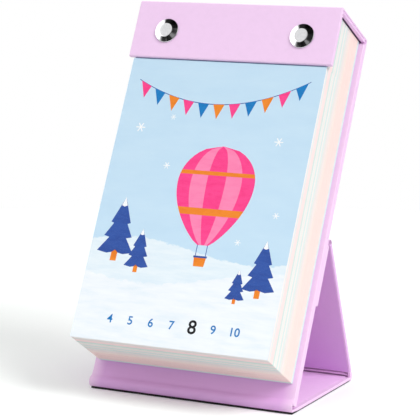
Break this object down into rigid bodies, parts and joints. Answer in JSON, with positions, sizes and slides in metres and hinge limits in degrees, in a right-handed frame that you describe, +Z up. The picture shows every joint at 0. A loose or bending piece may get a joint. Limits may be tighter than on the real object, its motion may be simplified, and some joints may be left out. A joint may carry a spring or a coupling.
{
  "type": "desk calendar",
  "caption": "Page-a-day desk calendar: a clamped pad of tear-off leaves in a hard paper-covered case that folds into a leaning easel.",
  "frame": {"origin": "centre of the base panel's underside, where the calendar stands", "axes": "+X to the calendar's right as it is read from the front, +Y from the front to the rear, +Z up"},
  "size_m": [0.105, 0.1051, 0.1804],
  "materials": {
    "cover_paper": "matt lilac bookbinding paper with a fine grain",
    "lining_paper": "matt lilac endpaper",
    "fold_paper": "matt lilac bookbinding paper, creased",
    "greyboard": "bare pressed board",
    "leaf_paper": "uncoated leaves, printed to the edge in pale bands",
    "page_print": "smooth printed leaf",
    "chrome": "polished plate",
    "magnet": "nickel plate"
  },
  "bodies": {
    "root": {"header_board": "greyboard", "spine_board": "greyboard", "rear_board": "greyboard", "cover_wrap": "cover_paper", "cover_lining": "lining_paper", "front_board": "greyboard", "front_wrap": "cover_paper", "foot_fold": "fold_paper", "leaves_january": "leaf_paper", "leaves_february": "leaf_paper", "leaves_march": "leaf_paper", "leaves_april": "leaf_paper", "leaves_may": "leaf_paper", "leaves_june": "leaf_paper", "leaves_july": "leaf_paper", "leaves_august": "leaf_paper", "leaves_september": "leaf_paper", "leaves_october": "leaf_paper", "leaves_november": "leaf_paper", "leaves_december": "leaf_paper", "binding_post_left": "chrome", "binding_post_right": "chrome", "post_screw_left": "chrome", "post_screw_right": "chrome", "back_magnet_left": "magnet", "back_magnet_right": "magnet"},
    "base": {"base_board": "greyboard", "base_wrap": "cover_paper", "base_lining": "lining_paper"},
    "strut": {"strut_board": "greyboard", "strut_wrap": "cover_paper", "strut_lining": "lining_paper", "rear_fold": "fold_paper", "tab_fold": "fold_paper"},
    "tab": {"tab_board": "greyboard", "tab_wrap": "cover_paper", "tab_lining": "lining_paper", "tab_magnet_left": "magnet", "tab_magnet_right": "magnet"},
    "leaf": {"top_leaf": "page_print"}
  },
  "joints": [
    {"name": "foot_fold_joint", "type": "hinge", "parent": "root", "child": "base", "pos_m": [0, -0.03096, 0.00215], "axis": [1, 0, 0], "range_deg": [0, 64]},
    {"name": "rear_fold_joint", "type": "hinge", "parent": "base", "child": "strut", "pos_m": [0, 0.03554, 0], "axis": [1, 0, 0], "range_deg": [-112.6, 0]},
    {"name": "tab_fold_joint", "type": "hinge", "parent": "strut", "child": "tab", "pos_m": [0, 0.00565, 0.07197], "axis": [1, 0, 0], "range_deg": [0, 48.6]},
    {"name": "leaf_lift", "type": "hinge", "parent": "root", "child": "leaf", "pos_m": [0, 0.00395, 0.15413], "axis": [-1, 0, 0], "range_deg": [0, 100]}
  ],
  "couplings": [
    {"joint": "rear_fold_joint", "follows": "foot_fold_joint", "ratio": -1.7587},
    {"joint": "tab_fold_joint", "follows": "foot_fold_joint", "ratio": 0.75866}
  ]
}
